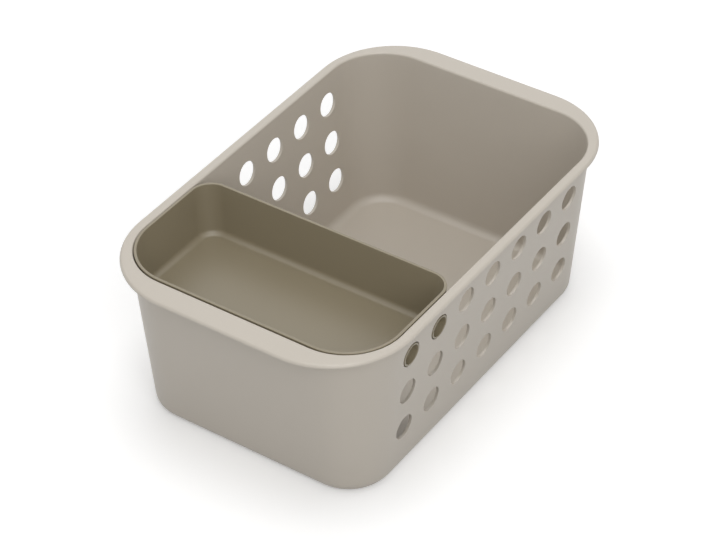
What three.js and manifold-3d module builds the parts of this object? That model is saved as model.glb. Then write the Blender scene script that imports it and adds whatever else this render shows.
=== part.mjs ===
// A perforated bathroom basket with a lift-out tray pegged into its side walls.
// Millimetres, +Z up. The origin is on the table under the middle of the basket,
// X runs across it, and the tray end faces -Y.

import * as THREE from "three";
import { mergeVertices } from "three/addons/utils/BufferGeometryUtils.js";
import Module from "manifold-3d";

const wasm = await Module();
wasm.setup();

// Basket, measured over the rim
const BASKET_LENGTH = 313.8;
const BASKET_WIDTH = 202.7;
const BASKET_HEIGHT = 118.7;

// Basket walls: they lean out towards the rim, and the corners open up with height
const WALL = 1.9;
const SIDE_DRAFT_DEG = 5.17;
const END_DRAFT_DEG = 4.7;
const WALL_CORNER_AT_BASE = 28.9;
const WALL_CORNER_AT_RIM = 40.9;

// Rim: a thin flange that slopes down outwards, narrow along the sides and wide at the ends,
// where it is the hand hold
const SIDE_LIP = 4.9;
const END_LIP = 14.2;
const RIM_CORNER = 57;
const RIM_THICKNESS = 2.6;
const RIM_SLOPE_DEG = 2.8;
const RIM_TOP_ROUND = 1.8;
const RIM_INNER_ROUND = 1.4;
const UNDER_RIM_FILLET = 1.5;

// Basket base: it stands on a flat ring round a shallow recess
const FOOT_ROUND = 7.5;
const FOOT_RING_WIDTH = 6;
const BASE_RECESS = 0.8;
const BASE_THICKNESS = 1.7;
const FLOOR_FILLET = 6;

// Vent holes through both side walls, in rows below the rim
const HOLE_DIAMETER = 16.8;
const HOLE_PITCH = 30.35;
const TOP_ROW_BELOW_RIM = 23.05;
const HOLE_MARGIN = 2.5;

// Tray: it hangs inside the front end, just below the rim
const TRAY_WALL = 1.9;
const TRAY_FLOOR = 2.0;
const TRAY_DEPTH = 36.3;
const TRAY_BELOW_RIM = 0.2;
const TRAY_SIDE_GAP = 0.35;
const TRAY_FRONT_GAP = 1.0;
const TRAY_CORNER_GAP = 0.5;
const TRAY_TAIL = 19.3;
const TRAY_BACK_CORNER = 15.1;
const TRAY_FLOOR_FILLET = 4;
const TRAY_EDGE_ROUND = 0.35;

// Pegs: hollow studs on the tray's sides that snap into the front holes of the top row
const PEGS_PER_SIDE = 2;
const PEG_CLEARANCE = 0.6;
const PEG_RING = 1.2;
const PEG_PROUD = 0.4;
const PEG_BORE_IN_TRAY = 1.4;
const PEG_SEAT_GAP = 0.3;

// Facets
const CORNER_STEPS = 8;
const ROUND_STEPS = 4;
const HOLE_SIDES = 20;

const SIDE_LEAN = Math.tan(THREE.MathUtils.degToRad(SIDE_DRAFT_DEG));
const END_LEAN = Math.tan(THREE.MathUtils.degToRad(END_DRAFT_DEG));
const RIM_SLOPE = Math.tan(THREE.MathUtils.degToRad(RIM_SLOPE_DEG));
const RIM_HALF_WIDTH = BASKET_WIDTH / 2;
const RIM_HALF_LENGTH = BASKET_LENGTH / 2;
const FLOOR_Z = BASE_RECESS + BASE_THICKNESS;

// A plan outline: a rectangle with its own front and back corner radii
function outline(halfWidth, front, back, frontCorner, backCorner) {
  return { halfWidth, front, back, frontCorner, backCorner };
}

// The same outline moved inwards by a distance, or outwards where it is negative
function inset(plan, distance) {
  return outline(
    plan.halfWidth - distance,
    plan.front + distance,
    plan.back - distance,
    Math.max(plan.frontCorner - distance, 0.5),
    Math.max(plan.backCorner - distance, 0.5),
  );
}

// Outward directions round one corner of any outline, the four corners anticlockwise from above
function cornerDirections(quarter) {
  return Array.from({ length: CORNER_STEPS + 1 }, (_, step) => {
    const angle = (quarter + step / CORNER_STEPS) * (Math.PI / 2);
    return new THREE.Vector3(Math.cos(angle), Math.sin(angle), 0);
  });
}

// Points of an outline at one height, in the order of its corner directions
function ringPoints(plan, z) {
  const corners = [
    { x: 1, edge: plan.back, towards: -1, radius: plan.backCorner },
    { x: -1, edge: plan.back, towards: -1, radius: plan.backCorner },
    { x: -1, edge: plan.front, towards: 1, radius: plan.frontCorner },
    { x: 1, edge: plan.front, towards: 1, radius: plan.frontCorner },
  ];
  return corners.flatMap((corner, quarter) => {
    const centreX = corner.x * (plan.halfWidth - corner.radius);
    const centreY = corner.edge + corner.towards * corner.radius;
    const centre = new THREE.Vector3(centreX, centreY, z);
    const directions = cornerDirections(quarter);
    return directions.map((direction) => centre.clone().addScaledVector(direction, corner.radius));
  });
}

// Rings round a quarter turn of an edge: turn 0 gives no inset, turn 1 the full radius
function roundedEdge(radius, ringAt) {
  return Array.from({ length: ROUND_STEPS + 1 }, (_, step) => {
    const angle = (step / ROUND_STEPS) * (Math.PI / 2);
    return ringAt(radius * (1 - Math.cos(angle)), radius * Math.sin(angle));
  });
}

// A closed skin over a run of rings, with a flat cap on the first and on the last
function loft(rings) {
  const loops = rings.map((ring) => ring.points ?? ringPoints(ring.plan, ring.z));
  const count = loops[0].length;
  const points = loops.flat();
  const faces = [];
  for (let level = 0; level + 1 < loops.length; level += 1) {
    for (let i = 0; i < count; i += 1) {
      const next = (i + 1) % count;
      const low = level * count;
      const high = low + count;
      faces.push(low + i, low + next, high + next);
      faces.push(low + i, high + next, high + i);
    }
  }
  const last = (loops.length - 1) * count;
  for (let i = 1; i + 1 < count; i += 1) {
    faces.push(0, i + 1, i);
    faces.push(last, last + i, last + i + 1);
  }
  const geometry = new THREE.BufferGeometry().setFromPoints(points);
  geometry.setIndex(faces);
  return geometry;
}

// A cylinder along X between two places
function crossCylinder(radius, fromX, toX, y, z) {
  const geometry = new THREE.CylinderGeometry(radius, radius, Math.abs(toX - fromX), HOLE_SIDES);
  geometry.rotateZ(Math.PI / 2);
  geometry.translate((fromX + toX) / 2, y, z);
  return geometry;
}

// A geometry as a solid that can be joined and cut
function solid(geometry) {
  const bare = geometry.clone();
  bare.deleteAttribute("normal");
  bare.deleteAttribute("uv");
  const merged = mergeVertices(bare, 1e-4);
  return new wasm.Manifold(
    new wasm.Mesh({
      numProp: 3,
      vertProperties: new Float32Array(merged.attributes.position.array),
      triVerts: new Uint32Array(merged.index.array),
    }),
  );
}

// A finished solid as a named mesh
function meshOf(name, body, material) {
  const result = body.getMesh();
  const geometry = new THREE.BufferGeometry();
  geometry.setAttribute("position", new THREE.BufferAttribute(result.vertProperties, 3));
  geometry.setIndex(new THREE.BufferAttribute(result.triVerts, 1));
  geometry.computeVertexNormals();
  const mesh = new THREE.Mesh(geometry, material);
  mesh.name = name;
  return mesh;
}

// Outer face of the basket's walls at a height
function wallPlan(z) {
  const belowRim = BASKET_HEIGHT - z;
  const halfWidth = RIM_HALF_WIDTH - SIDE_LIP - belowRim * SIDE_LEAN;
  const halfLength = RIM_HALF_LENGTH - END_LIP - belowRim * END_LEAN;
  const corner = THREE.MathUtils.lerp(WALL_CORNER_AT_BASE, WALL_CORNER_AT_RIM, z / BASKET_HEIGHT);
  return outline(halfWidth, -halfLength, halfLength, corner, corner);
}

// Outer edge of the rim
function rimPlan() {
  return outline(RIM_HALF_WIDTH, -RIM_HALF_LENGTH, RIM_HALF_LENGTH, RIM_CORNER, RIM_CORNER);
}

// The rounding between the ring that the basket stands on and the foot of its walls
function footRings() {
  const footPlan = wallPlan(FOOT_ROUND);
  const foot = roundedEdge(FOOT_ROUND, (inward, drop) => ({
    plan: inset(footPlan, inward),
    z: FOOT_ROUND - drop,
  }));
  return foot.reverse();
}

// Inner face of the basket's walls where the rim begins to round over
function rimInnerFace() {
  return inset(wallPlan(BASKET_HEIGHT - RIM_INNER_ROUND), WALL);
}

// A ring of the rim: it drops by the rim's slope with the distance outside the rim's crest
function slopingRing(plan, z) {
  const crest = ringPoints(inset(rimInnerFace(), -RIM_INNER_ROUND), z);
  const outward = [0, 1, 2, 3].flatMap(cornerDirections);
  const points = ringPoints(plan, z);
  points.forEach((point, i) => {
    point.z -= RIM_SLOPE * point.clone().sub(crest[i]).dot(outward[i]);
  });
  return { points };
}

// The rim from the wall under it, out along its underside, round its edge and over to the inside
function rimRings() {
  const rim = rimPlan();
  const filletZ = BASKET_HEIGHT - RIM_THICKNESS - UNDER_RIM_FILLET;
  const wallTop = wallPlan(filletZ);
  const fillet = roundedEdge(UNDER_RIM_FILLET, (outward, rise) =>
    slopingRing(inset(wallTop, -outward), filletZ + rise),
  );
  const edgeZ = BASKET_HEIGHT - RIM_TOP_ROUND;
  const lowerRound = RIM_THICKNESS - RIM_TOP_ROUND;
  const lowerEdge = roundedEdge(lowerRound, (inward, drop) =>
    slopingRing(inset(rim, inward), edgeZ - drop),
  );
  const upperEdge = roundedEdge(RIM_TOP_ROUND, (inward, rise) =>
    slopingRing(inset(rim, inward), edgeZ + rise),
  );
  const innerRound = roundedEdge(RIM_INNER_ROUND, (outward, rise) => ({
    plan: inset(rimInnerFace(), -outward),
    z: BASKET_HEIGHT - RIM_INNER_ROUND + rise,
  }));
  return [...fillet, ...lowerEdge.reverse(), ...upperEdge.slice(1), ...innerRound.reverse()];
}

// The inside of the basket from above its floor fillet down to the floor
function basketFloorRings() {
  const filletTop = FLOOR_Z + FLOOR_FILLET;
  const innerFace = inset(wallPlan(filletTop), WALL);
  return roundedEdge(FLOOR_FILLET, (inward, drop) => ({
    plan: inset(innerFace, inward),
    z: filletTop - drop,
  }));
}

// Places along Y and Z of the vent holes, front column and top row first
function holeGrid() {
  const topRowZ = BASKET_HEIGHT - TOP_ROW_BELOW_RIM;
  const topRow = wallPlan(topRowZ);
  const straight = topRow.back - topRow.front - topRow.backCorner - topRow.frontCorner;
  const columnSpan = straight - HOLE_DIAMETER - 2 * HOLE_MARGIN;
  const rowSpan = topRowZ - HOLE_DIAMETER / 2 - HOLE_MARGIN - FOOT_ROUND;
  const columns = Math.floor(columnSpan / HOLE_PITCH) + 1;
  const rows = Math.floor(rowSpan / HOLE_PITCH) + 1;
  const columnY = Array.from({ length: columns }, (_, i) => (i - (columns - 1) / 2) * HOLE_PITCH);
  const rowZ = Array.from({ length: rows }, (_, i) => topRowZ - i * HOLE_PITCH);
  return { columnY, rowZ };
}

const holes = holeGrid();

function makeBasket() {
  const recess = inset(wallPlan(FOOT_ROUND), FOOT_ROUND + FOOT_RING_WIDTH);
  const rings = [
    { plan: recess, z: BASE_RECESS },
    { plan: recess, z: 0 },
    ...footRings(),
    ...rimRings(),
    ...basketFloorRings(),
  ];
  let body = solid(loft(rings));
  for (const y of holes.columnY) {
    for (const z of holes.rowZ) {
      const drill = crossCylinder(HOLE_DIAMETER / 2, -BASKET_WIDTH, BASKET_WIDTH, y, z);
      body = body.subtract(solid(drill));
    }
  }
  return body;
}

const TRAY_TOP_Z = BASKET_HEIGHT - TRAY_BELOW_RIM;
const TRAY_BASE_Z = TRAY_TOP_Z - TRAY_DEPTH - TRAY_FLOOR;
const PEG_RADIUS = HOLE_DIAMETER / 2 - PEG_CLEARANCE;
const PEG_BORE_RADIUS = PEG_RADIUS - PEG_RING;
const pegY = holes.columnY.slice(0, PEGS_PER_SIDE);

// How much tighter the tray's front corners are than the basket's, for the gap across them
const TRAY_CORNER_TIGHTER =
  ((TRAY_SIDE_GAP + TRAY_FRONT_GAP) * Math.SQRT1_2 - TRAY_CORNER_GAP) / (Math.SQRT2 - 1);

// Outer face of the tray's walls at a height: it follows the basket's inner faces at the
// front and sides, and ends a little behind its rear pegs
function trayPlan(z) {
  const room = inset(wallPlan(z), WALL);
  const back = pegY[pegY.length - 1] + TRAY_TAIL - (TRAY_TOP_Z - z) * END_LEAN;
  return outline(
    room.halfWidth - TRAY_SIDE_GAP,
    room.front + TRAY_FRONT_GAP,
    back,
    room.frontCorner - TRAY_CORNER_TIGHTER,
    TRAY_BACK_CORNER,
  );
}

// The tray's outer skin from its underside up to the rim edge, grown by a distance
function trayOuterRings(grown) {
  const edge = TRAY_FLOOR_FILLET + TRAY_FLOOR;
  const edgeZ = TRAY_BASE_Z + edge;
  const lower = roundedEdge(edge, (inward, drop) => ({
    plan: inset(trayPlan(edgeZ), inward - grown),
    z: edgeZ - drop,
  }));
  const upper = roundedEdge(TRAY_EDGE_ROUND, (inward, rise) => ({
    plan: inset(trayPlan(TRAY_TOP_Z - TRAY_EDGE_ROUND), inward - grown),
    z: TRAY_TOP_Z - TRAY_EDGE_ROUND + rise,
  }));
  return [...lower.reverse(), ...upper];
}

function makeTray() {
  const rimFace = inset(trayPlan(TRAY_TOP_Z - TRAY_EDGE_ROUND), TRAY_WALL);
  const rim = roundedEdge(TRAY_EDGE_ROUND, (outward, rise) => ({
    plan: inset(rimFace, -outward),
    z: TRAY_TOP_Z - TRAY_EDGE_ROUND + rise,
  }));
  const filletTop = TRAY_BASE_Z + TRAY_FLOOR + TRAY_FLOOR_FILLET;
  const floor = roundedEdge(TRAY_FLOOR_FILLET, (inward, drop) => ({
    plan: inset(trayPlan(filletTop), TRAY_WALL + inward),
    z: filletTop - drop,
  }));
  const boreEnd = solid(loft(trayOuterRings(-PEG_BORE_IN_TRAY)));
  let body = solid(loft([...trayOuterRings(0), ...rim.reverse(), ...floor]));
  for (const y of pegY) {
    const bores = solid(crossCylinder(PEG_BORE_RADIUS, -BASKET_WIDTH, BASKET_WIDTH, y, holes.rowZ[0]));
    body = body.subtract(bores.subtract(boreEnd));
  }
  return body;
}

// One peg: a short tube seated on the tray's side, its mouth just proud of the basket's wall
function makePeg(side, y) {
  const z = holes.rowZ[0];
  const stud = solid(crossCylinder(PEG_RADIUS, 0, side * BASKET_WIDTH, y, z));
  const bore = solid(crossCylinder(PEG_BORE_RADIUS, 0, side * BASKET_WIDTH, y, z));
  const mouthRings = [...footRings(), { plan: wallPlan(TRAY_TOP_Z), z: TRAY_TOP_Z }].map((ring) => ({
    plan: inset(ring.plan, -PEG_PROUD),
    z: ring.z,
  }));
  const seat = solid(loft(trayOuterRings(PEG_SEAT_GAP)));
  return stud.intersect(solid(loft(mouthRings))).subtract(seat).subtract(bore);
}

const basketPlastic = new THREE.MeshStandardMaterial({ color: 0xc4bdb1, roughness: 0.45, metalness: 0 });
const trayPlastic = new THREE.MeshStandardMaterial({ color: 0x887f69, roughness: 0.4, metalness: 0 });

const basketGroup = new THREE.Group();
basketGroup.add(meshOf("basket", makeBasket(), basketPlastic));

const trayGroup = new THREE.Group();
trayGroup.add(meshOf("tray", makeTray(), trayPlastic));
for (const [sideName, side] of [["left", -1], ["right", 1]]) {
  pegY.forEach((y, index) => {
    trayGroup.add(meshOf(`peg_${sideName}_${index + 1}`, makePeg(side, y), trayPlastic));
  });
}

const organizer = new THREE.Group();
organizer.add(basketGroup, trayGroup);

export default organizer;
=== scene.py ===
"""A perforated bathroom basket with a lift-out tray, dressed for a studio picture.

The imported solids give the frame. Both mouldings are modelled again as finer skins with rounded
edges, in matte moulded plastic. Lengths are in metres unless a name says otherwise.
"""

import math
from collections import defaultdict, namedtuple

import bpy
from mathutils import Matrix, Vector


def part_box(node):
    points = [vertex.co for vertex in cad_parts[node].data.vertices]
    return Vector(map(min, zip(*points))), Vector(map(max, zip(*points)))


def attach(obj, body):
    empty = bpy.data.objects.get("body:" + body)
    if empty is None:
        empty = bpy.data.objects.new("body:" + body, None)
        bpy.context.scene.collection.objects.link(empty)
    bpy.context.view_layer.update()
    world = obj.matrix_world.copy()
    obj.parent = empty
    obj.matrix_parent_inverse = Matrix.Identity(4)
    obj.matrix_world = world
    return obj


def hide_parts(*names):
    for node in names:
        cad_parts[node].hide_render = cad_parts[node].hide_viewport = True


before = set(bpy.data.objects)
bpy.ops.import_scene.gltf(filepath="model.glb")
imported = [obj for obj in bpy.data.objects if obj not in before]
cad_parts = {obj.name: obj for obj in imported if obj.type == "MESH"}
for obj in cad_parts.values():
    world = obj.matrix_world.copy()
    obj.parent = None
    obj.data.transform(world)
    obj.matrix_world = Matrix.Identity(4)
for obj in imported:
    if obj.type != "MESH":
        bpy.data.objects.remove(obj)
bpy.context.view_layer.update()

scene = bpy.context.scene
MM = 0.001

# Overall sizes, taken from the frame
RIM_HALF_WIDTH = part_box("basket")[1].x
RIM_HALF_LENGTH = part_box("basket")[1].y
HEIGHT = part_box("basket")[1].z
TRAY_LOW, TRAY_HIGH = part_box("tray")

# Basket walls
WALL = 1.9 * MM
SIDE_LEAN = math.tan(math.radians(5.17))
END_LEAN = math.tan(math.radians(4.7))
CORNER_AT_BASE = 28.9 * MM
CORNER_AT_RIM = 40.9 * MM

# Basket rim, a thin flange that slopes down outwards
SIDE_LIP = 4.9 * MM
END_LIP = 14.2 * MM
RIM_CORNER = 57 * MM
RIM_THICKNESS = 2.6 * MM
RIM_SLOPE = math.tan(math.radians(2.8))
RIM_TOP_ROUND = 1.8 * MM
RIM_INNER_ROUND = 1.4 * MM
UNDER_RIM_FILLET = 1.5 * MM

# Basket base
FOOT_ROUND = 7.5 * MM
FOOT_RING = 6 * MM
BASE_RECESS = 0.8 * MM
FLOOR_THICKNESS = 1.7 * MM
FLOOR_Z = BASE_RECESS + FLOOR_THICKNESS
FLOOR_FILLET = 6 * MM

# Vent holes, each in a cell of the wall's grid; the pegs sit in the front holes of the top row
HOLE_RADIUS = 8.4 * MM
HOLE_EDGE = 0.2 * MM
HOLE_COLUMNS = 7
HOLE_ROWS = 3
HOLE_CELLS_END = 100.8 * MM

# Tray; the span is the straight stretch of its sides along Y
TRAY_WALL = 1.9 * MM
TRAY_FLOOR = 2.0 * MM
TRAY_FLOOR_FILLET = 4 * MM
TRAY_EDGE = 0.35 * MM
TRAY_BACK_CORNER = 15.1 * MM
TRAY_FRONT_CORNER = 37.9 * MM
TRAY_CORNER_LEAN = (CORNER_AT_RIM - CORNER_AT_BASE) / HEIGHT
TRAY_SIDE_SPAN = (-100 * MM, -62 * MM)

# Pegs
PEG_RING = 1.2 * MM
PEG_EDGE = 0.35 * MM
PEG_ROOT = 1.0 * MM
PEG_PROUD = 0.4 * MM
PEG_BORE_IN_TRAY = 1.4 * MM
PEG_NAMES = ("peg_left_1", "peg_left_2", "peg_right_1", "peg_right_2")

# Fineness of the skins; a support is the distance of a line that keeps an edge crisp
CELL_STEPS = 12
CORNER_STEPS = 20
ROUND_STEPS = 6
FILLET_STEPS = 8
EDGE_STEPS = 4
END_STEPS = 6
TRAY_SIDE_STEPS = 6
SUPPORT = 0.4 * MM
SHARP_ANGLE_DEG = 32

# Moulded plastic: a broad drift of colour, and a fine grain that also varies the gloss
PLASTIC_IOR = 1.49
DRIFT_SCALE = 14
DRIFT_DETAIL = 3
GRAIN_SCALE = 1600
GRAIN_DETAIL = 2
GRAIN_STRENGTH = 0.12
GRAIN_DEPTH = 0.1 * MM
GLOSS_SPREAD = 0.05

# Studio: a white floor that keeps the shadow, a bright surround and large soft lamps
FLOOR_HALF = 3.0
FLOOR_DROP = 0.2 * MM
FLOOR_BOUNCE = 0.45
FLOOR_SEEN = 1.0
FLOOR_GLOW_NEAR = 0.18
FLOOR_GLOW_FAR = 1.0
FLOOR_FADE_START = 0.4
FLOOR_FADE_END = 0.9
WORLD_LIGHT = 0.53
WORLD_SEEN = 1.0
LAMP_DISTANCE = 2.0
Lamp = namedtuple("Lamp", "name azimuth_deg elevation_deg size power")
LAMPS = (
    Lamp("overhead_lamp", 0, 90, 1.0, 9.6),
    Lamp("key_lamp", -46, 37, 1.5, 11.2),
    Lamp("back_lamp", 125, 40, 1.5, 2.8),
)

# Camera, fitted to the side holes and the outlines of the photograph
IMAGE_WIDTH_PX = 716
FOCAL_PX = 2640.5
SENSOR_MM = 36
AZIMUTH_DEG = 34.906
ELEVATION_DEG = 38.987
ROLL_DEG = -1.0062
AIM = Vector((0.00634, -0.01884, 0.07208))
DISTANCE = 1.66498


def middle(node):
    """The middle of a CAD node's box."""
    low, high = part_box(node)
    return (low + high) / 2


TOP_ROW_Z = middle("peg_right_1").z
HOLE_PITCH = middle("peg_right_2").y - middle("peg_right_1").y
COLUMN_Y = [(i - (HOLE_COLUMNS - 1) / 2) * HOLE_PITCH for i in range(HOLE_COLUMNS)]
ROW_Z = [TOP_ROW_Z - i * HOLE_PITCH for i in reversed(range(HOLE_ROWS))]

# A plan is a rounded outline seen from above, and a ring is a plan at a height
Plan = namedtuple("Plan", "half front back front_corner back_corner")
Ring = namedtuple("Ring", "plan z sloping", defaults=(False,))
Station = namedtuple("Station", "place out")
IN, OUT = 1, -1
UP, DOWN = 1, -1


def inset(plan, distance):
    """A plan moved inwards by a distance."""
    return Plan(
        plan.half - distance,
        plan.front + distance,
        plan.back - distance,
        plan.front_corner - distance,
        plan.back_corner - distance,
    )


def lerp(a, b, share):
    """The value at a share of the way from a to b."""
    return a + (b - a) * share


def quarter_angles(steps):
    """Even angles from zero to a right angle."""
    return [i / steps * math.pi / 2 for i in range(steps + 1)]


# Stations are places round a plan, anticlockwise from above, that every ring of a skin shares
def side_station(side, y):
    """A place on a straight side, kept clear of the corners."""
    def place(plan):
        first = plan.front + plan.front_corner + SUPPORT
        last = plan.back - plan.back_corner - SUPPORT
        return side * plan.half, min(max(y, first), last)

    return Station(place, (side, 0))


def corner_station(quarter, turn):
    """A place on a corner, at a share of its turn; quarters count from the back right one."""
    side = 1 if quarter in (0, 3) else -1
    angle = (quarter + turn) * math.pi / 2
    out = (math.cos(angle), math.sin(angle))

    def place(plan):
        radius = plan.back_corner if quarter < 2 else plan.front_corner
        centre_y = plan.back - radius if quarter < 2 else plan.front + radius
        centre_x = side * (plan.half - radius)
        return centre_x + radius * out[0], centre_y + radius * out[1]

    return Station(place, out)


def end_station(at_back, share):
    """A place on the straight part of an end, at a share of its half width."""
    def place(plan):
        radius = plan.back_corner if at_back else plan.front_corner
        return share * (plan.half - radius), plan.back if at_back else plan.front

    return Station(place, (0, 1 if at_back else -1))


def stations(side_lines):
    """Stations all the way round, with the given places along Y on the two sides."""
    shares = [1 - 2 * i / END_STEPS for i in range(1, END_STEPS)]
    turns = [i / CORNER_STEPS for i in range(CORNER_STEPS + 1)]
    right = [side_station(1, y) for y in side_lines]
    back_right = [corner_station(0, t) for t in turns]
    back = [end_station(True, s) for s in shares]
    back_left = [corner_station(1, t) for t in turns]
    left = [side_station(-1, y) for y in reversed(side_lines)]
    front_left = [corner_station(2, t) for t in turns]
    front = [end_station(False, -s) for s in shares]
    front_right = [corner_station(3, t) for t in turns]
    return right + back_right + back + back_left + left + front_left + front + front_right


class Skin:
    """Vertices and faces of a mesh under construction."""

    def __init__(self):
        self.points = []
        self.faces = []

    def row(self, points):
        """Adds a row of points and gives their numbers."""
        start = len(self.points)
        self.points.extend(points)
        return list(range(start, len(self.points)))

    def bridge(self, first, second, left_open=frozenset()):
        """Quads between two closed rows of the same length, apart from the places left open."""
        count = len(first)
        for i in range(count):
            if i not in left_open:
                k = (i + 1) % count
                self.faces.append((first[i], first[k], second[k], second[i]))

    def stack(self, rows):
        """Quads through a whole stack of rows."""
        for first, second in zip(rows, rows[1:]):
            self.bridge(first, second)

    def cap(self, rows):
        """Faces that close both ends of a stack of rows."""
        self.faces.append(tuple(reversed(rows[0])))
        self.faces.append(tuple(rows[-1]))

    def mesh(self, name):
        """The finished mesh, shaded smooth."""
        data = bpy.data.meshes.new(name)
        data.from_pydata(self.points, [], self.faces)
        data.shade_smooth()
        data.validate()
        return data


def ring_points(ring, places):
    """Points of a ring; a sloping one drops with the distance outside the crest of the rim."""
    points = []
    for station in places:
        x, y = station.place(ring.plan)
        z = ring.z
        if ring.sloping:
            crest_x, crest_y = station.place(CREST_PLAN)
            z -= RIM_SLOPE * ((x - crest_x) * station.out[0] + (y - crest_y) * station.out[1])
        points.append((x, y, z))
    return points


def quarter_turn(plan, z, radius, sideways, upright, steps=ROUND_STEPS, sloping=False):
    """Rings round a quarter turn that leaves a plan upright at a height and ends level."""
    rings = []
    for angle in quarter_angles(steps):
        level_move = radius * (1 - math.cos(angle))
        upright_move = radius * math.sin(angle)
        rings.append(Ring(inset(plan, sideways * level_move), z + upright * upright_move, sloping))
    return rings


def wall_plan(z):
    """Outer face of the basket's walls at a height."""
    below = HEIGHT - z
    half = RIM_HALF_WIDTH - SIDE_LIP - below * SIDE_LEAN
    length = RIM_HALF_LENGTH - END_LIP - below * END_LEAN
    corner = lerp(CORNER_AT_BASE, CORNER_AT_RIM, z / HEIGHT)
    return Plan(half, -length, length, corner, corner)


RIM_PLAN = Plan(RIM_HALF_WIDTH, -RIM_HALF_LENGTH, RIM_HALF_LENGTH, RIM_CORNER, RIM_CORNER)
RIM_INNER_FACE = inset(wall_plan(HEIGHT - RIM_INNER_ROUND), WALL)
CREST_PLAN = inset(RIM_INNER_FACE, -RIM_INNER_ROUND)


def row_lines():
    """Heights of the lines of the hole cells, from the lowest up."""
    low = ROW_Z[0] - HOLE_PITCH / 2
    count = HOLE_ROWS * CELL_STEPS
    return [low + HOLE_PITCH * i / CELL_STEPS for i in range(count + 1)]


def column_lines():
    """Places along Y of the lines of the hole cells, from the front back."""
    edges = [-HOLE_CELLS_END]
    edges += [(a + b) / 2 for a, b in zip(COLUMN_Y, COLUMN_Y[1:])]
    edges += [HOLE_CELLS_END]
    lines = [edges[0]]
    for a, b in zip(edges, edges[1:]):
        lines += [lerp(a, b, i / CELL_STEPS) for i in range(1, CELL_STEPS + 1)]
    return lines


def foot_rings():
    """From the recess under the base, over the ring that it stands on, to the foot of the wall."""
    foot = wall_plan(FOOT_ROUND)
    recess = inset(foot, FOOT_ROUND + FOOT_RING)
    turn = quarter_turn(foot, FOOT_ROUND, FOOT_ROUND, IN, DOWN)
    return [
        Ring(inset(recess, 3 * SUPPORT), BASE_RECESS),
        Ring(inset(recess, SUPPORT), BASE_RECESS),
        Ring(recess, BASE_RECESS - SUPPORT),
        Ring(recess, SUPPORT),
        Ring(inset(recess, -SUPPORT), 0),
        Ring(inset(foot, FOOT_ROUND + SUPPORT), 0),
        *reversed(turn),
    ]


def rim_rings():
    """From the top of the outer wall, under and round the rim, to the top of the inner face."""
    fillet_z = HEIGHT - RIM_THICKNESS - UNDER_RIM_FILLET
    edge_z = HEIGHT - RIM_TOP_ROUND
    low_round = RIM_THICKNESS - RIM_TOP_ROUND
    fillet = quarter_turn(wall_plan(fillet_z), fillet_z, UNDER_RIM_FILLET, OUT, UP, sloping=True)
    lower = quarter_turn(RIM_PLAN, edge_z, low_round, IN, DOWN, sloping=True)
    upper = quarter_turn(RIM_PLAN, edge_z, RIM_TOP_ROUND, IN, UP, sloping=True)
    inner = quarter_turn(RIM_INNER_FACE, HEIGHT - RIM_INNER_ROUND, RIM_INNER_ROUND, OUT, UP)
    return [
        *fillet,
        Ring(inset(RIM_PLAN, low_round + SUPPORT), HEIGHT - RIM_THICKNESS, True),
        *reversed(lower[1:]),
        *upper,
        Ring(inset(RIM_PLAN, RIM_TOP_ROUND + SUPPORT), HEIGHT, True),
        Ring(inset(CREST_PLAN, -SUPPORT), HEIGHT, True),
        *reversed(inner),
    ]


def floor_rings():
    """From the foot of the inner face, round the fillet, to the floor."""
    top = FLOOR_Z + FLOOR_FILLET
    face = inset(wall_plan(top), WALL)
    return [
        *quarter_turn(face, top, FLOOR_FILLET, IN, DOWN, FILLET_STEPS),
        Ring(inset(face, FLOOR_FILLET + 2 * SUPPORT), FLOOR_Z),
    ]


def cell_loop(rows, columns):
    """Grid places once round a hole cell, from its lower corner."""
    low, high = rows[0], rows[-1]
    first, last = columns[0], columns[-1]
    loop = [(low, j) for j in columns[:-1]]
    loop += [(i, last) for i in rows[:-1]]
    loop += [(high, j) for j in reversed(columns[1:])]
    loop += [(i, first) for i in reversed(rows[1:])]
    return loop


def drill(skin, outer_loop, inner_loop, side, y, z):
    """A round hole through a side wall, between the cell's loops on the outer and inner faces."""
    count = len(outer_loop)
    lower_corner = math.radians(-135)
    angles = [lower_corner + 2 * math.pi * k / count for k in range(count)]

    def circle(radius, depth):
        points = []
        for angle in angles:
            height = z + radius * math.sin(angle)
            x = side * (wall_plan(height).half - depth)
            points.append((x, y + side * radius * math.cos(angle), height))
        return skin.row(points)

    mouth = HOLE_RADIUS + HOLE_EDGE
    rings = [(mouth + SUPPORT, 0.0)]
    for angle in quarter_angles(EDGE_STEPS):
        rings.append((mouth - HOLE_EDGE * math.sin(angle), HOLE_EDGE * (1 - math.cos(angle))))
    rings += [(radius, WALL - depth) for radius, depth in reversed(rings)]
    circles = [circle(radius, depth) for radius, depth in rings]
    skin.stack([outer_loop, *circles, inner_loop])


def drill_side(skin, grid, side, start, outer_start, inner_end):
    """All holes of one side wall, with the places of the grid that they leave open, row by row."""
    left_open = defaultdict(set)
    steps = range(CELL_STEPS + 1)
    for row, z in enumerate(ROW_Z):
        for cell in range(HOLE_COLUMNS):
            y = COLUMN_Y[cell if side > 0 else HOLE_COLUMNS - 1 - cell]
            rows = [row * CELL_STEPS + i for i in steps]
            columns = [start + cell * CELL_STEPS + j for j in steps]
            loop = cell_loop(rows, columns)
            outer_loop = [grid[outer_start + i][j] for i, j in loop]
            inner_loop = [grid[inner_end - i][j] for i, j in loop]
            drill(skin, outer_loop, inner_loop, side, y, z)
            for i in rows[:-1]:
                left_open[outer_start + i].update(columns[:-1])
                left_open[inner_end - i - 1].update(columns[:-1])
    return left_open


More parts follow.
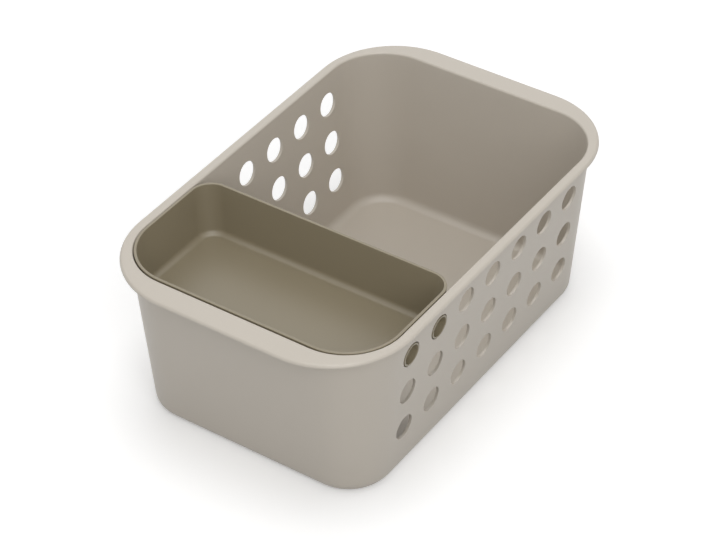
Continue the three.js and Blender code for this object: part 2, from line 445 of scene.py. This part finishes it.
def make_basket():
    """The basket as one closed skin, from under its base, up outside and down inside to its floor."""
    lines_y = column_lines()
    lines_z = row_lines()
    foot = foot_rings()
    outer_wall = [Ring(wall_plan(z), z) for z in (FOOT_ROUND + SUPPORT, *lines_z)]
    rim = rim_rings()
    inner_wall = [Ring(inset(wall_plan(z), WALL), z) for z in reversed(lines_z)]
    rings = foot + outer_wall + rim + inner_wall + floor_rings()
    places = stations(lines_y)
    skin = Skin()
    grid = [skin.row(ring_points(ring, places)) for ring in rings]

    # Grid rows of the lowest hole line on the two faces, and the column where the left side starts
    outer_start = len(foot) + 1
    inner_end = len(foot) + len(outer_wall) + len(rim) + len(lines_z) - 1
    left_start = len(lines_y) + 2 * (CORNER_STEPS + 1) + END_STEPS - 1
    right_open = drill_side(skin, grid, 1, 0, outer_start, inner_end)
    left_open = drill_side(skin, grid, -1, left_start, outer_start, inner_end)
    for i, (first, second) in enumerate(zip(grid, grid[1:])):
        skin.bridge(first, second, right_open[i] | left_open[i])
    skin.cap(grid)
    return skin.mesh("basket_skin")


def tray_plan(z):
    """Outer face of the tray's walls at a height."""
    below = TRAY_HIGH.z - z
    return Plan(
        TRAY_HIGH.x - below * SIDE_LEAN,
        TRAY_LOW.y + below * END_LEAN,
        TRAY_HIGH.y - below * END_LEAN,
        TRAY_FRONT_CORNER - below * TRAY_CORNER_LEAN,
        TRAY_BACK_CORNER,
    )


def tray_rings():
    """From the underside, up the outer face and over the rim, down the inner face to the floor."""
    base_round = TRAY_FLOOR_FILLET + TRAY_FLOOR
    turn_z = TRAY_LOW.z + base_round
    above_turn = turn_z + SUPPORT
    rim_z = TRAY_HIGH.z - TRAY_EDGE
    below_rim = rim_z - SUPPORT
    base = tray_plan(turn_z)
    floor = inset(base, TRAY_WALL)
    rim = tray_plan(rim_z)
    return [
        Ring(inset(base, base_round + 2 * SUPPORT), TRAY_LOW.z),
        *reversed(quarter_turn(base, turn_z, base_round, IN, DOWN)),
        Ring(tray_plan(above_turn), above_turn),
        Ring(tray_plan(below_rim), below_rim),
        *quarter_turn(rim, rim_z, TRAY_EDGE, IN, UP, EDGE_STEPS),
        *reversed(quarter_turn(inset(rim, TRAY_WALL), rim_z, TRAY_EDGE, OUT, UP, EDGE_STEPS)),
        Ring(inset(tray_plan(below_rim), TRAY_WALL), below_rim),
        Ring(inset(tray_plan(above_turn), TRAY_WALL), above_turn),
        *quarter_turn(floor, turn_z, TRAY_FLOOR_FILLET, IN, DOWN),
        Ring(inset(floor, TRAY_FLOOR_FILLET + 2 * SUPPORT), TRAY_LOW.z + TRAY_FLOOR),
    ]


def make_tray_shell():
    """The tray without its pegs, as one closed skin."""
    side_lines = [lerp(*TRAY_SIDE_SPAN, i / TRAY_SIDE_STEPS) for i in range(TRAY_SIDE_STEPS + 1)]
    places = stations(side_lines)
    skin = Skin()
    grid = [skin.row(ring_points(ring, places)) for ring in tray_rings()]
    skin.stack(grid)
    skin.cap(grid)
    return skin.mesh("tray_skin")


def turned(node, profile):
    """A solid round a peg's axis; the profile gives places along it from the tray's side, and radii."""
    centre = middle(node)
    side = 1 if centre.x > 0 else -1
    seat = tray_plan(centre.z).half
    count = 4 * CELL_STEPS
    skin = Skin()
    rows = []
    for along, radius in profile:
        points = []
        for k in range(count):
            angle = 2 * math.pi * k / count
            height = radius * math.sin(angle)
            x = side * (seat + along + height * SIDE_LEAN)
            points.append((x, centre.y + side * radius * math.cos(angle), centre.z + height))
        rows.append(skin.row(points))
    skin.stack(rows)
    skin.cap(rows)
    return skin.mesh(node + "_tool")


def peg_profiles(node):
    """Profiles of a peg's stud and of its bore, which ends inside the tray's wall."""
    low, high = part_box(node)
    radius = (high.y - low.y) / 2
    bore = radius - PEG_RING
    z = middle(node).z
    mouth = wall_plan(z).half + PEG_PROUD - tray_plan(z).half
    stud = [(-PEG_ROOT, radius)]
    hollow = [(-PEG_BORE_IN_TRAY, bore)]
    for angle in quarter_angles(EDGE_STEPS):
        along = mouth - PEG_EDGE + PEG_EDGE * math.sin(angle)
        stud.append((along, radius - PEG_EDGE + PEG_EDGE * math.cos(angle)))
        hollow.append((along, bore + PEG_EDGE - PEG_EDGE * math.cos(angle)))
    hollow.append((mouth + PEG_ROOT, bore + PEG_EDGE))
    return stud, hollow


def add_object(name, data):
    """A new object in the scene."""
    obj = bpy.data.objects.new(name, data)
    scene.collection.objects.link(obj)
    return obj


def make_tray():
    """The tray's shell joined with its hollow pegs into one moulding."""
    shell = add_object("tray_moulding", make_tray_shell())
    profiles = [(node, *peg_profiles(node)) for node in PEG_NAMES]
    studs = [add_object(node + "_stud", turned(node, stud)) for node, stud, _ in profiles]
    bores = [add_object(node + "_bore", turned(node, hollow)) for node, _, hollow in profiles]
    tools = [("UNION", stud) for stud in studs] + [("DIFFERENCE", bore) for bore in bores]
    for operation, tool in tools:
        cut = shell.modifiers.new(tool.name, "BOOLEAN")
        cut.operation = operation
        cut.solver = "EXACT"
        cut.object = tool
    depsgraph = bpy.context.evaluated_depsgraph_get()
    joined = bpy.data.meshes.new_from_object(shell.evaluated_get(depsgraph))
    shell.modifiers.clear()
    shell.data = joined
    for _, tool in tools:
        bpy.data.objects.remove(tool)
    joined.materials.clear()
    joined.shade_smooth()
    joined.set_sharp_from_angle(angle=math.radians(SHARP_ANGLE_DEG))
    return shell


def new_material(name):
    """An empty node material."""
    material = bpy.data.materials.new(name)
    material.use_nodes = True
    nodes = material.node_tree.nodes
    nodes.clear()
    return material, nodes, material.node_tree.links


def noise(nodes, links, place, scale, detail):
    """A noise pattern fixed to the object."""
    pattern = nodes.new("ShaderNodeTexNoise")
    pattern.inputs["Scale"].default_value = scale
    pattern.inputs["Detail"].default_value = detail
    links.new(place.outputs["Object"], pattern.inputs["Vector"])
    return pattern.outputs["Fac"]


def map_range(nodes, links, value, low, high, start=0, end=1):
    """Low where a value is at its start, high where it is at its end, and even between them."""
    spread = nodes.new("ShaderNodeMapRange")
    spread.inputs["From Min"].default_value = start
    spread.inputs["From Max"].default_value = end
    spread.inputs["To Min"].default_value = low
    spread.inputs["To Max"].default_value = high
    links.new(value, spread.inputs["Value"])
    return spread.outputs["Result"]


def moulded_plastic(name, colour, shade, specular, roughness):
    """Matte moulded plastic: a faint drift of colour, and a fine grain with its gloss."""
    material, nodes, links = new_material(name)
    output = nodes.new("ShaderNodeOutputMaterial")
    shader = nodes.new("ShaderNodeBsdfPrincipled")
    shader.inputs["IOR"].default_value = PLASTIC_IOR
    shader.inputs["Specular IOR Level"].default_value = specular
    links.new(shader.outputs["BSDF"], output.inputs["Surface"])
    place = nodes.new("ShaderNodeTexCoord")

    drift = noise(nodes, links, place, DRIFT_SCALE, DRIFT_DETAIL)
    tint = nodes.new("ShaderNodeMix")
    tint.data_type = "RGBA"
    tint.inputs["A"].default_value = (*shade, 1)
    tint.inputs["B"].default_value = (*colour, 1)
    links.new(drift, tint.inputs["Factor"])
    links.new(tint.outputs["Result"], shader.inputs["Base Color"])

    grain = noise(nodes, links, place, GRAIN_SCALE, GRAIN_DETAIL)
    bump = nodes.new("ShaderNodeBump")
    bump.inputs["Strength"].default_value = GRAIN_STRENGTH
    bump.inputs["Distance"].default_value = GRAIN_DEPTH
    links.new(grain, bump.inputs["Height"])
    links.new(bump.outputs["Normal"], shader.inputs["Normal"])
    gloss = map_range(nodes, links, grain, roughness - GLOSS_SPREAD, roughness + GLOSS_SPREAD)
    links.new(gloss, shader.inputs["Roughness"])
    return material


def srgb(red, green, blue):
    """A colour given in sRGB steps of 255, as linear light."""
    def linear(step):
        share = step / 255
        return share / 12.92 if share <= 0.04045 else ((share + 0.055) / 1.055) ** 2.4

    return linear(red), linear(green), linear(blue)


basket = add_object("basket_moulding", make_basket())
basket.data.materials.append(moulded_plastic(
    "basket_plastic",
    colour=srgb(196, 188, 176),
    shade=srgb(192, 184, 172),
    specular=0.8,
    roughness=0.42,
))
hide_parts("basket")
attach(basket, "basket")

tray = make_tray()
tray.data.materials.append(moulded_plastic(
    "tray_plastic",
    colour=srgb(140, 130, 108),
    shade=srgb(136, 126, 104),
    specular=0.75,
    roughness=0.38,
))
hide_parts("tray", *PEG_NAMES)
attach(tray, "tray")


def seen_directly(nodes, links):
    """1 for what the camera sees straight on, in a reflection or through glass, and 0 for light."""
    path = nodes.new("ShaderNodeLightPath")
    total = path.outputs["Is Camera Ray"]
    for kind in ("Is Glossy Ray", "Is Transmission Ray"):
        both = nodes.new("ShaderNodeMath")
        both.operation = "MAXIMUM"
        links.new(total, both.inputs[0])
        links.new(path.outputs[kind], both.inputs[1])
        total = both.outputs["Value"]
    return total


def by_ray(nodes, links, as_light, as_seen):
    """A strength that is one value as light and another where it is seen."""
    return map_range(nodes, links, seen_directly(nodes, links), as_light, as_seen)


def floor_material():
    """White floor that keeps the shadow near the part and fades into the backdrop farther out."""
    material, nodes, links = new_material("studio_floor")
    output = nodes.new("ShaderNodeOutputMaterial")
    diffuse = nodes.new("ShaderNodeBsdfDiffuse")
    links.new(by_ray(nodes, links, FLOOR_BOUNCE, FLOOR_SEEN), diffuse.inputs["Color"])

    place = nodes.new("ShaderNodeTexCoord")
    away = nodes.new("ShaderNodeVectorMath")
    away.operation = "LENGTH"
    links.new(place.outputs["Object"], away.inputs[0])
    fade = map_range(
        nodes, links, away.outputs["Value"],
        FLOOR_GLOW_NEAR, FLOOR_GLOW_FAR, FLOOR_FADE_START, FLOOR_FADE_END,
    )
    strength = nodes.new("ShaderNodeMath")
    strength.operation = "MULTIPLY"
    links.new(fade, strength.inputs[0])
    links.new(seen_directly(nodes, links), strength.inputs[1])
    glow = nodes.new("ShaderNodeEmission")
    links.new(strength.outputs["Value"], glow.inputs["Strength"])

    both = nodes.new("ShaderNodeAddShader")
    links.new(diffuse.outputs["BSDF"], both.inputs[0])
    links.new(glow.outputs["Emission"], both.inputs[1])
    links.new(both.outputs["Shader"], output.inputs["Surface"])
    return material


def make_floor():
    """A large square just under the part."""
    corners = [(-1, -1), (1, -1), (1, 1), (-1, 1)]
    points = [(FLOOR_HALF * x, FLOOR_HALF * y, -FLOOR_DROP) for x, y in corners]
    mesh = bpy.data.meshes.new("studio_floor")
    mesh.from_pydata(points, [], [(0, 1, 2, 3)])
    mesh.materials.append(floor_material())
    return add_object("studio_floor", mesh)


floor = make_floor()


def light_world():
    """A white surround that lights the part less than it shows."""
    world = bpy.data.worlds.new("studio")
    world.use_nodes = True
    nodes = world.node_tree.nodes
    links = world.node_tree.links
    surround = nodes["Background"]
    surround.inputs["Color"].default_value = (1, 1, 1, 1)
    links.new(by_ray(nodes, links, WORLD_LIGHT, WORLD_SEEN), surround.inputs["Strength"])
    scene.world = world


def add_lamp(lamp):
    """A round soft lamp that faces the origin; its azimuth is counted from +X."""
    azimuth, elevation = math.radians(lamp.azimuth_deg), math.radians(lamp.elevation_deg)
    towards = Vector((
        math.cos(azimuth) * math.cos(elevation),
        math.sin(azimuth) * math.cos(elevation),
        math.sin(elevation),
    ))
    data = bpy.data.lights.new(lamp.name, "AREA")
    data.shape = "DISK"
    data.size = lamp.size
    data.energy = lamp.power
    obj = add_object(lamp.name, data)
    obj.location = LAMP_DISTANCE * towards
    obj.rotation_euler = towards.to_track_quat("Z", "Y").to_euler()


def add_camera():
    """The photograph's camera; its azimuth is counted from -Y towards +X."""
    azimuth, elevation, roll = (math.radians(a) for a in (AZIMUTH_DEG, ELEVATION_DEG, ROLL_DEG))
    back = Vector((
        math.sin(azimuth) * math.cos(elevation),
        -math.cos(azimuth) * math.cos(elevation),
        math.sin(elevation),
    ))
    right = Vector((math.cos(azimuth), math.sin(azimuth), 0))
    up = back.cross(right)
    right, up = (
        math.cos(roll) * right + math.sin(roll) * up,
        math.cos(roll) * up - math.sin(roll) * right,
    )
    data = bpy.data.cameras.new("camera")
    data.sensor_fit = "HORIZONTAL"
    data.sensor_width = SENSOR_MM
    data.lens = FOCAL_PX * SENSOR_MM / IMAGE_WIDTH_PX
    camera = add_object("camera", data)
    turn = Matrix((right, up, back)).transposed()
    camera.matrix_world = Matrix.Translation(AIM + DISTANCE * back) @ turn.to_4x4()
    scene.camera = camera


light_world()
for lamp in LAMPS:
    add_lamp(lamp)
add_camera()
scene.view_settings.view_transform = "Standard"
